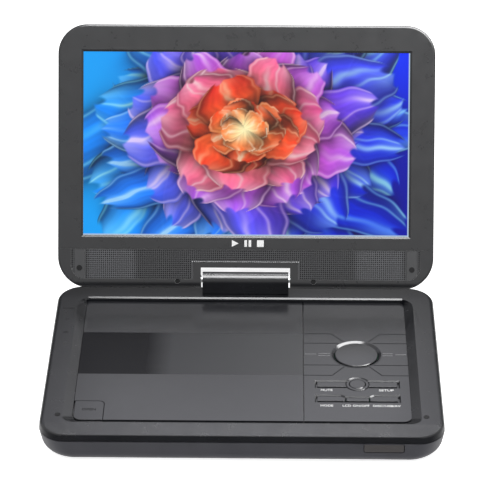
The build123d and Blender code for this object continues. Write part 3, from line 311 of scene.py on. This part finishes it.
def make_piece(name, mesh, material, body):
    """A piece that rides on a body.  With no material, the mesh keeps the ones it has."""
    piece = bpy.data.objects.new(name, mesh)
    bpy.context.scene.collection.objects.link(piece)
    if material:
        mesh.materials.append(material)
    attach(piece, body)
    return piece


def prism(outline, low, high):
    """The points and faces of a closed slab over an outline of x, y points, from low to high."""
    count = len(outline)
    points = [(x, y, level) for level in (low, high) for x, y in outline]
    sides = [(k, (k + 1) % count, count + (k + 1) % count, count + k) for k in range(count)]
    return points, [tuple(reversed(range(count))), tuple(range(count, 2 * count)), *sides]


def solids(name, shapes, place):
    """One mesh that holds several sets of points and faces, moved by place."""
    points = []
    faces = []
    for more, sides in shapes:
        faces += [tuple(len(points) + k for k in side) for side in sides]
        points += more
    mesh = bpy.data.meshes.new(name)
    mesh.from_pydata(points, [], faces)
    mesh.transform(place)
    return mesh


def rectangle(left, right, low, high):
    return [(left, low), (right, low), (right, high), (left, high)]


def lettering(name, words, width, height, place):
    """Words as flat raised letters, width and height across, centred on place."""
    curve = bpy.data.curves.new(name, "FONT")
    curve.body = words
    curve.size = 1.0
    curve.extrude = 0.03
    curve.offset = 0.012
    curve.resolution_u = 3
    text = bpy.data.objects.new(name, curve)
    bpy.context.scene.collection.objects.link(text)
    mesh = bpy.data.meshes.new_from_object(text.evaluated_get(bpy.context.evaluated_depsgraph_get()))
    bpy.data.objects.remove(text)
    spots = np.array([v.co for v in mesh.vertices])
    low = spots.min(axis=0)
    high = spots.max(axis=0)
    size = high - low
    centre = Matrix.Translation(Vector(-(low + high) / 2))
    scale = Matrix.Diagonal((width / size[0], height / size[1], PRINT / size[2], 1))
    mesh.transform(place @ scale @ centre)
    return mesh


# Screen picture -------------------------------------------------------------------------------

def smooth(edge, width, x):
    """0 below edge, 1 above edge + width, and smooth between."""
    t = np.clip((x - edge) / width, 0, 1)
    return t * t * (3 - 2 * t)


def mix(a, b, amount):
    """Blends two colours, or two pictures, by an amount that may differ from point to point."""
    amount = np.asarray(amount)[..., None]
    return np.asarray(a) * (1 - amount) + np.asarray(b) * amount


SKY_LEFT = (0.09, 0.62, 0.97)
SKY_RIGHT = (0.00, 0.20, 0.98)
SKY_LOW = (0.00, 0.06, 0.62)
RINGS = [
    # petals, length, width, first angle, inner colour, outer colour, shine, bend, tint from the side
    (19, 1.02, 0.20, 7, (0.10, 0.22, 0.90), (0.03, 0.34, 0.96), (0.62, 0.93, 1.00), 0.16, 0.75),
    (17, 0.84, 0.19, 19, (0.30, 0.20, 0.92), (0.10, 0.28, 0.95), (0.66, 0.86, 1.00), -0.20, 0.60),
    (15, 0.70, 0.19, 4, (0.78, 0.24, 0.74), (0.36, 0.24, 0.94), (0.95, 0.84, 1.00), 0.22, 0.35),
    (13, 0.56, 0.19, 22, (0.98, 0.36, 0.56), (0.72, 0.30, 0.90), (1.00, 0.86, 0.98), -0.18, 0.12),
    (9, 0.42, 0.19, 9, (1.00, 0.56, 0.44), (0.96, 0.36, 0.60), (1.00, 0.88, 0.88), 0.20, 0.0),
    (7, 0.31, 0.17, 30, (1.00, 0.50, 0.22), (0.93, 0.16, 0.10), (1.00, 0.72, 0.56), -0.16, 0.0),
    (6, 0.22, 0.13, 12, (1.00, 0.72, 0.40), (0.95, 0.24, 0.10), (1.00, 0.88, 0.74), 0.14, 0.0),
    (5, 0.13, 0.09, 40, (1.00, 0.92, 0.68), (0.98, 0.40, 0.16), (1.00, 0.98, 0.88), 0.06, 0.0),
]
HEART = (-0.01, 0.08)
TILT = 0.84


def bloom(x, y):
    """A made-up flower of many petals; x and y run from -0.89 to 0.89 and -0.5 to 0.5."""
    rng = np.random.default_rng(5)
    blank = np.ones(x.shape + (3,))
    side = smooth(-0.75, 1.1, x + 0.2 * y)
    picture = mix(mix(SKY_LEFT * blank, SKY_RIGHT, side), SKY_LOW, smooth(0.1, 0.8, 0.8 * x - y))
    tint = mix(mix((0.10, 0.60, 1.00) * blank, (0.30, 0.28, 0.98), smooth(-0.55, 0.7, x + 0.5 * y)),
               (0.05, 0.10, 0.80), smooth(0.25, 0.6, 0.9 * x - 0.8 * y))
    px = x - HEART[0]
    py = (y - HEART[1]) / TILT
    for count, length, width, first, inner, outer, shine, lift, toned in RINGS:
        for index in rng.permutation(count):
            turn = math.radians(first + 360 * (index + rng.uniform(-0.25, 0.25)) / count)
            size = length * rng.uniform(0.84, 1.14)
            if math.cos(turn) < -0.4 and math.sin(turn) > 0.2:
                size *= 1 - 0.25 * toned
            half = width * rng.uniform(0.8, 1.25)
            bend = lift * rng.uniform(0.3, 1.7)
            warm = rng.uniform(-0.3, 0.3)
            ripple = rng.uniform(12, 20)
            phase = rng.uniform(0, 2 * math.pi)
            gloss_at = rng.uniform(-0.55, 0.55)
            along = (px * math.cos(turn) + py * math.sin(turn)) / size
            across = (py * math.cos(turn) - px * math.sin(turn)) / size - bend * along ** 2
            s = np.clip(along, 0.001, 1)
            ruffle = 0.06 * np.sin(along * ripple + phase) + 0.03 * np.sin(along * ripple * 2.3 + 2 * phase)
            room = half / size * np.sin(math.pi * s ** 0.9) ** 0.6 * (0.6 + 0.8 * s)
            t = across / (room + 0.002) + ruffle * smooth(0.3, 0.5, s)
            tip_cut = 1 - 0.05 * np.cos(3.1 * t + phase) ** 2
            ends = smooth(0.0, 0.04, along) * (1 - smooth(0.95, 0.04, along / tip_cut))
            inside = (1 - smooth(0.96, 0.06, np.abs(t))) * ends
            near = np.exp(-np.clip(np.abs(t) - 1, 0, 9) * 4.0)
            near = near * smooth(0.1, 0.3, along) * (1 - smooth(0.75, 0.2, along))
            picture = picture * (1 - 0.38 * near * (1 - inside))[..., None]
            body = mix(inner * blank, outer, np.clip(s ** 1.2 + warm * (s - 0.3), 0, 1))
            body = mix(body, tint, toned * smooth(0.15, 0.6, s))
            fold = 0.80 + 0.28 * np.cos(1.9 * (t - gloss_at)) - 0.34 * smooth(0.35, 0.65, -t * np.sign(bend))
            veins = 1 + (0.10 * np.sin(t * 15 + 4 * s + phase) + 0.07 * np.sin(t * 31 - 3 * s)) * (1.1 - s)
            body = body * (fold * veins)[..., None]
            streak = np.exp(-((t - gloss_at - 0.2 * np.sin(4 * s + phase)) / 0.13) ** 2) * smooth(0.1, 0.4, s)
            streak = streak * (0.55 + 0.45 * np.sin(8 * s + phase))
            second = np.exp(-((t + gloss_at * 0.8 + 0.25 * np.sin(5 * s)) / 0.06) ** 2) * smooth(0.3, 0.3, s)
            rim = np.exp(-((np.abs(t) - 0.92) / 0.05) ** 2) * smooth(0.25, 0.5, s)
            tip = smooth(0.70, 0.25, s) * (0.22 + 0.22 * np.sin(t * 4 + phase))
            body = mix(body, shine, np.clip(0.75 * streak + 0.45 * second + 0.42 * rim + tip, 0, 0.92))
            picture = mix(picture, body, 0.93 * inside)
    glow = np.exp(-(px ** 2 + py ** 2) / 0.045 ** 2)
    picture = mix(picture, (1.0, 0.95, 0.72), 0.8 * glow)
    return np.clip(picture, 0, 1)


def lit_screen():
    """The lit face of the screen: its picture shines through a matt film."""
    material, tree, surface = new_material("lit_screen")
    picture = add(tree, "ShaderNodeAttribute", attribute_name="picture").outputs["Color"]
    surface.inputs["Base Color"].default_value = (0.004, 0.004, 0.005, 1)
    surface.inputs["Specular IOR Level"].default_value = 0.12
    surface.inputs["Roughness"].default_value = 0.35
    surface.inputs["Emission Strength"].default_value = 1.0
    tree.links.new(picture, surface.inputs["Emission Color"])
    bump(tree, noise(tree, object_place(tree), 0.3 * MM), surface, 0.002 * MM)
    return material


SCREEN_WIDTH = 222.6 * MM
SCREEN_HEIGHT = 125.2 * MM
SCREEN_MIDDLE = 98.85 * MM
SCREEN_COLUMNS = 400
FILM = 0.1 * MM
# Painted highlight: the pale colour given to the picture's bottom and right edges, standing in for light on
# the bezel's bevel.
PAINTED_BEVEL_HIGHLIGHT = (0.42, 0.55, 0.72)


def screen_film():
    """A film over the display, a fine grid whose points hold the colours of the picture, with a painted bevel
    highlight along its bottom and right edges.
    """
    rows = round(SCREEN_COLUMNS * SCREEN_HEIGHT / SCREEN_WIDTH)
    x, y = np.meshgrid(np.linspace(-0.5, 0.5, SCREEN_COLUMNS + 1), np.linspace(-0.5, 0.5, rows + 1))
    level = extent("lcd_panel", OUT, AXIS)[1]
    heights = np.full(x.shape, level + FILM)
    points = np.stack([x * SCREEN_WIDTH, SCREEN_MIDDLE + y * SCREEN_HEIGHT, heights], -1)
    front = points.reshape(-1, 3)
    across = SCREEN_COLUMNS + 1
    first = (np.arange(rows)[:, None] * across + np.arange(SCREEN_COLUMNS)[None]).ravel()
    faces = np.stack([first, first + 1, first + 1 + across, first + across], -1).tolist()
    edge = list(range(SCREEN_COLUMNS)) + [r * across + SCREEN_COLUMNS for r in range(rows)]
    edge += [rows * across + c for c in range(SCREEN_COLUMNS, 0, -1)]
    edge += [r * across for r in range(rows, 0, -1)]
    rim = front[edge] - np.array((0, 0, FILM))
    count = len(front)
    for k in range(len(edge)):
        after = (k + 1) % len(edge)
        faces.append([edge[after], edge[k], count + k, count + after])
    faces.append([count + k for k in reversed(range(len(edge)))])
    mesh = bpy.data.meshes.new("screen_film")
    mesh.from_pydata(np.concatenate([front, rim]).tolist(), [], faces)
    mesh.transform(LID_FRAME)
    picture = bloom(x * SCREEN_WIDTH / SCREEN_HEIGHT, y) ** 2.2
    # Painted highlight: a pale colour along the bottom and right edges stands in for light caught on the
    # bezel's bevel.
    picture[:2] = picture[:, -2:] = PAINTED_BEVEL_HIGHLIGHT
    colour = mesh.color_attributes.new("picture", "FLOAT_COLOR", "POINT")
    values = np.ones((count + len(edge), 4), np.float32)
    values[:count, :3] = picture.reshape(-1, 3)
    values[count:, :3] = values[edge, :3]
    colour.data.foreach_set("color", values.ravel())
    piece = make_piece("screen_film", mesh, lit_screen(), "lid")
    piece.visible_glossy = False
    piece.visible_diffuse = False


screen_film()


# Speaker mesh ---------------------------------------------------------------------------------

MESH_HALF = 119.3 * MM
MESH_LOW = 6.5 * MM
MESH_HIGH = 26.4 * MM
MESH_CORNER = 8.8 * MM
MESH_STEP_X = 35.7 * MM
MESH_STEP_UP = 18.2 * MM
MESH_PITCH = 1.42 * MM
HOLE_SHARE = 0.66
PLATE_DROP = 0.12 * MM
PLATE_FOOT = 0.48 * MM
PIT_DEPTH = 0.33 * MM
PLUG_BAND = (109.8 * MM, 117.4 * MM)


def lines_and_pits(low, high):
    """Grid lines from low to high, four to a cell, and which of them lie in a hole."""
    count = round((high - low) / MESH_PITCH)
    pitch = (high - low) / count
    rim = (1 - HOLE_SHARE) / 2
    steps = np.array((0.0, rim, rim + 0.08, 1 - rim - 0.08, 1 - rim))
    lines = np.append((low + pitch * (np.arange(count)[:, None] + steps)).ravel(), high)
    pits = np.append(np.tile((False, False, True, True, False), count), False)
    return lines, pits


def speaker_mesh():
    """A plate of small square holes across the foot of the lid, stepped over the hinge."""
    across, pits_across = lines_and_pits(-MESH_HALF, MESH_HALF)
    up, pits_up = lines_and_pits(MESH_LOW, MESH_HIGH)
    x, y = np.meshgrid(across, up)
    in_hole = pits_across[None] & pits_up[:, None]
    plain = (np.abs(x) > PLUG_BAND[0]) & (np.abs(x) < PLUG_BAND[1])
    margin = (np.abs(x) < MESH_STEP_X + MESH_PITCH) & (y < MESH_STEP_UP + MESH_PITCH / 2)
    top = FACE - PLATE_DROP
    level = np.where(in_hole & ~plain & ~margin, top - PIT_DEPTH, top)

    corner_x = MESH_HALF - MESH_CORNER
    corner_y = MESH_LOW + MESH_CORNER
    over = np.maximum(np.abs(x) - corner_x, 0)
    under = np.maximum(corner_y - y, 0)
    away = np.hypot(over, under)
    beyond = away > MESH_CORNER
    pull = np.where(beyond, MESH_CORNER / np.maximum(away, MESH_CORNER), 1.0)
    level = np.where(beyond, top, level)
    placed_x = np.where(beyond, np.sign(x) * (corner_x + over * pull), x)
    placed_y = np.where(beyond, corner_y - under * pull, y)

    rows, columns = x.shape
    index = np.arange(rows * columns).reshape(rows, columns)
    cells = np.stack([index[:-1, :-1], index[:-1, 1:], index[1:, 1:], index[1:, :-1]], -1).reshape(-1, 4)
    middle_x = np.abs((across[:-1] + across[1:]) / 2)[None] + 0 * up[:-1, None]
    middle_y = ((up[:-1] + up[1:]) / 2)[:, None] + 0 * across[None, :-1]
    gone = (middle_x < MESH_STEP_X) & (middle_y < MESH_STEP_UP)
    gone |= beyond.ravel()[cells].all(axis=1).reshape(gone.shape)
    mesh = bpy.data.meshes.new("speaker_mesh")
    points = np.stack([placed_x, placed_y, level], -1).reshape(-1, 3)
    mesh.from_pydata(points.tolist(), [], cells[~gone.ravel()].tolist())
    mesh.materials.append(speaker_cloth())
    mesh.materials.append(materials["rubber"])
    deep = (level.ravel()[cells] < top - PIT_DEPTH / 2).all(axis=1)
    mesh.polygons.foreach_set("material_index", deep[~gone.ravel()].astype(np.int32))
    bm = bmesh.new()
    bm.from_mesh(mesh)
    bmesh.ops.delete(bm, geom=[v for v in bm.verts if not v.link_faces], context="VERTS")
    rim = [edge for edge in bm.edges if edge.is_boundary]
    walls = bmesh.ops.extrude_edge_only(bm, edges=rim)["geom"]
    for vertex in (item for item in walls if isinstance(item, bmesh.types.BMVert)):
        vertex.co.z = FACE - PLATE_FOOT
    foot = [edge for edge in bm.edges if edge.is_boundary]
    bmesh.ops.contextual_create(bm, geom=foot)
    bmesh.ops.recalc_face_normals(bm, faces=bm.faces)
    bm.to_mesh(mesh)
    bm.free()
    mesh.transform(LID_FRAME)
    make_piece("speaker_mesh", mesh, None, "lid")


speaker_mesh()


# Printed and raised marks ---------------------------------------------------------------------

LABELS = {
    # words: middle x, distance from the rear edge, width
    "MUTE": (54.4, 127.6, 7.6),
    "SETUP": (93.0, 127.6, 9.6),
    "MODE": (54.3, 146.0, 8.2),
    "LCD ON/OFF": (73.0, 146.0, 17.2),
    "DISC/USB/AV": (92.8, 146.0, 17.8),
}
LABEL_HEIGHT = 2.3 * MM
SIDE_LABELS = {"PHONES": 32.0, "AV": 46.0, "USB": 63.0}
SIDE_LABEL_X = -120.0 * MM
MARKS_UP = 31.1 * MM
MARKS_MIDDLE = 1.5 * MM
MARK = 4.6 * MM
PLUG_X = 113.7 * MM
PLUG_UP = 13.7 * MM
PLUG_RADIUS = 1.9 * MM
PLUG_HEIGHT = 0.3 * MM
PLUG_SIDES = 40
TICKS = [
    # from x, to x, distance from the rear edge
    (40.4, 48.0, 83.9),
    (49.5, 57.0, 83.0),
    (49.5, 57.0, 85.6),
    (92.0, 98.6, 82.8),
    (92.0, 98.6, 85.4),
    (100.4, 107.6, 84.0),
]


def on_deck(x, from_rear, level=DECK_Z):
    """A place on the deck, in millimetres across and from the rear edge."""
    return Matrix.Translation((x * MM, REAR - from_rear * MM, level + PRINT / 2))


def plug_caps():
    """The round rubber caps at the two ends of the speaker mesh."""
    angles = [math.tau * step / PLUG_SIDES for step in range(PLUG_SIDES)]
    shapes = []
    for side in (-1, 1):
        middle = side * PLUG_X
        rim = [(middle + PLUG_RADIUS * math.cos(a), PLUG_UP + PLUG_RADIUS * math.sin(a)) for a in angles]
        shapes.append(prism(rim, 0, PLUG_HEIGHT))
    mesh = solids("plug_caps", shapes, LID_FRAME @ Matrix.Translation((0, 0, FACE - PLATE_DROP)))
    make_piece("plug_caps", mesh, materials["rubber"], "lid")


def key_labels():
    for words, (x, from_rear, width) in LABELS.items():
        name = "label_" + "".join(letter for letter in words.lower() if letter.isalpha())
        mesh = lettering(name, words, width * MM, LABEL_HEIGHT, on_deck(x, from_rear))
        make_piece(name, mesh, print_white, "base")
    ticks = []
    for start, end, from_rear in TICKS:
        middle = REAR - from_rear * MM
        ticks.append(prism(rectangle(start * MM, end * MM, middle - 0.28 * MM, middle + 0.28 * MM), 0, PRINT))
    mesh = solids("panel_ticks", ticks, Matrix.Translation((0, 0, DECK_Z)))
    make_piece("panel_ticks", mesh, print_grey, "base")


def side_labels():
    """Small dark words beside the sockets, which read from the left."""
    for words, from_rear in SIDE_LABELS.items():
        place = Matrix.Translation((SIDE_LABEL_X, REAR - from_rear * MM, BASE_HIGH.z + PRINT / 2))
        mesh = lettering("side_" + words.lower(), words, 1.25 * MM * len(words), 1.7 * MM, place)
        make_piece("side_" + words.lower(), mesh, print_faint, "base")


def open_letters():
    low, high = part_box("open_button")
    place = Matrix.Translation(((low.x + high.x) / 2, (low.y + high.y) / 2 + 1.0 * MM, high.z + PRINT / 2))
    mesh = lettering("open_letters", "OPEN", 9.0 * MM, 2.7 * MM, place)
    make_piece("open_letters", mesh, print_faint, "open_button")


def media_marks():
    """Plain play, pause and stop marks over the speaker mesh."""
    half = MARK / 2
    gap = 8.6 * MM
    play = [(-gap - half, -half), (-gap + half, 0), (-gap - half, half)]
    shapes = [play, rectangle(-half, -half * 0.25, -half, half), rectangle(half * 0.25, half, -half, half)]
    shapes.append(rectangle(gap - half, gap + half, -half, half))
    place = LID_FRAME @ Matrix.Translation((MARKS_MIDDLE, MARKS_UP, FACE))
    mesh = solids("media_marks", [prism(shape, 0, PRINT) for shape in shapes], place)
    make_piece("media_marks", mesh, print_white, "lid")


STRIPE_REAR = 58.1 * MM
STRIPE_FRONT = 109.9 * MM
STRIPE_LEVEL = 0.15 * MM


def door_stripe():
    """A thin glossy film that lies in the shallow recess across the door and carries the painted reflection.
    """
    low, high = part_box("disc_door")
    inset = 0.05 * MM
    shape = rectangle(low.x + inset, high.x - inset, REAR - STRIPE_FRONT + inset, REAR - STRIPE_REAR - inset)
    floor = DECK_Z - STRIPE_LEVEL
    mesh = solids("door_stripe", [prism(shape, floor, floor + 0.1 * MM)], Matrix())
    make_piece("door_stripe", mesh, stripe_painted_reflection(), "disc_door")


plug_caps()
key_labels()
side_labels()
open_letters()
media_marks()
door_stripe()


# Studio ---------------------------------------------------------------------------------------

def glowing(name, strength, shade):
    """A light-giving surface whose brightness shade(tree, x, y, z) may vary over it."""
    material = bpy.data.materials.new(name)
    material.use_nodes = True
    tree = material.node_tree
    tree.nodes.remove(tree.nodes["Principled BSDF"])
    light = add(tree, "ShaderNodeEmission")
    light.inputs["Strength"].default_value = strength
    tree.links.new(light.outputs["Emission"], tree.nodes["Material Output"].inputs["Surface"])
    if shade:
        split = add(tree, "ShaderNodeSeparateXYZ")
        tree.links.new(object_place(tree), split.inputs["Vector"])
        tree.links.new(shade(tree, *split.outputs), light.inputs["Color"])
    return material


def card(name, points, material):
    """A flat light panel that only reflections see."""
    mesh = bpy.data.meshes.new(name)
    mesh.from_pydata(points, [], [tuple(range(len(points)))])
    mesh.materials.append(material)
    panel = bpy.data.objects.new(name, mesh)
    bpy.context.scene.collection.objects.link(panel)
    panel.visible_camera = False
    panel.visible_diffuse = False
    panel.visible_transmission = False
    panel.visible_shadow = False


def grey(level, blue=0.0):
    return (level, level, level * (1 + blue))


def back_shade(tree, x, y, z):
    """What the deck mirrors: dark low down, brighter higher up, brighter to the right, dim at the ends."""
    height = remap(tree, z, 0, 1, 0.15, 0.35)
    left_stops = [(0.06, grey(0.05)), (0.14, grey(0.18)), (0.22, grey(0.32)), (0.36, grey(0.44, 0.03)),
                  (0.48, grey(0.58, 0.05)), (0.62, grey(0.86, 0.06)), (0.8, grey(0.95, 0.08))]
    right_stops = [(0.06, grey(0.06)), (0.14, grey(0.40)), (0.22, grey(0.60)), (0.36, grey(0.70, 0.03)),
                   (0.48, grey(0.80, 0.05)), (0.62, grey(0.98, 0.06)), (0.8, grey(1.0, 0.08))]
    left = colours(tree, height, left_stops)
    right = colours(tree, height, right_stops)
    blend = add(tree, "ShaderNodeMix", data_type="RGBA")
    tree.links.new(remap(tree, x, 0, 1, 0.0, 0.06), blend.inputs["Factor"])
    tree.links.new(left, blend.inputs["A"])
    tree.links.new(right, blend.inputs["B"])
    side = add(tree, "ShaderNodeMath", operation="ABSOLUTE")
    tree.links.new(x, side.inputs[0])
    ends = add(tree, "ShaderNodeMix", data_type="RGBA", blend_type="MULTIPLY")
    ends.inputs["Factor"].default_value = 1.0
    reach = remap(tree, side.outputs["Value"], 0, 1, 0.125, 0.165)
    dim = colours(tree, reach, [(0.0, grey(1.0)), (1.0, grey(0.5))])
    tree.links.new(blend.outputs["Result"], ends.inputs["A"])
    tree.links.new(dim, ends.inputs["B"])
    return ends.outputs["Result"]


def world():
    """White all round, but dark low down in front."""
    sky = bpy.data.worlds.new("studio")
    bpy.context.scene.world = sky
    sky.use_nodes = True
    tree = sky.node_tree
    split = add(tree, "ShaderNodeSeparateXYZ")
    tree.links.new(add(tree, "ShaderNodeTexCoord").outputs["Generated"], split.inputs["Vector"])
    back = remap(tree, split.outputs["Y"], -1, 1, -0.5, 0.5)
    above = remap(tree, split.outputs["Z"], -1, 1, -0.15, 0.15)
    highest = add(tree, "ShaderNodeMath", operation="MAXIMUM")
    tree.links.new(back, highest.inputs[0])
    tree.links.new(above, highest.inputs[1])
    level = remap(tree, highest.outputs["Value"], 0, 1, -1, 1)
    background = tree.nodes["Background"]
    tree.links.new(colours(tree, level, [(0.0, grey(0.12)), (1.0, grey(1.0))]), background.inputs["Color"])


BACK_HALF = 0.8
BACK_Y = 0.32
BACK_TOP = 0.6
BACK_STRENGTH = 1.9
OVERHEAD_X = (-0.18, 1.2)
OVERHEAD_Y = (-0.60, 0.45)
OVERHEAD_Z = 1.0
OVERHEAD_STRENGTH = 20.0


def studio():
    world()
    bpy.ops.mesh.primitive_grid_add(x_subdivisions=8, y_subdivisions=8, size=12)
    floor = bpy.context.object
    floor.name = "studio_floor"
    material, _, surface = new_material("studio_floor")
    surface.inputs["Base Color"].default_value = (0.97, 0.97, 0.97, 1)
    surface.inputs["Roughness"].default_value = 0.9
    surface.inputs["Specular IOR Level"].default_value = 0.1
    surface.inputs["Emission Color"].default_value = (1, 1, 1, 1)
    surface.inputs["Emission Strength"].default_value = 0.75
    floor.data.materials.append(material)
    floor.visible_glossy = False

    back = [(-BACK_HALF, BACK_Y, 0.0), (BACK_HALF, BACK_Y, 0.0)]
    back += [(BACK_HALF, BACK_Y, BACK_TOP), (-BACK_HALF, BACK_Y, BACK_TOP)]
    card("back_card", back, glowing("back_glow", BACK_STRENGTH, back_shade))
    overhead = [(x, y, OVERHEAD_Z) for x, y in rectangle(*OVERHEAD_X, *OVERHEAD_Y)]
    card("overhead_card", overhead, glowing("overhead_glow", OVERHEAD_STRENGTH, None))
    for name in frame["record"]["behaviour"]["bodies"]["lid"]:
        nodes[name].visible_glossy = False


def camera():
    lens = bpy.data.cameras.new("camera")
    lens.sensor_width = 36
    lens.lens = 183.9
    lens.clip_start = 0.05
    eye = bpy.data.objects.new("camera", lens)
    bpy.context.scene.collection.objects.link(eye)
    eye.location = (0.0235, -1.4671, 0.9200)
    eye.rotation_euler = (math.radians(90 - 29.70), 0, math.radians(0.773))
    bpy.context.scene.camera = eye


studio()
camera()
bpy.context.scene.view_settings.view_transform = "Standard"
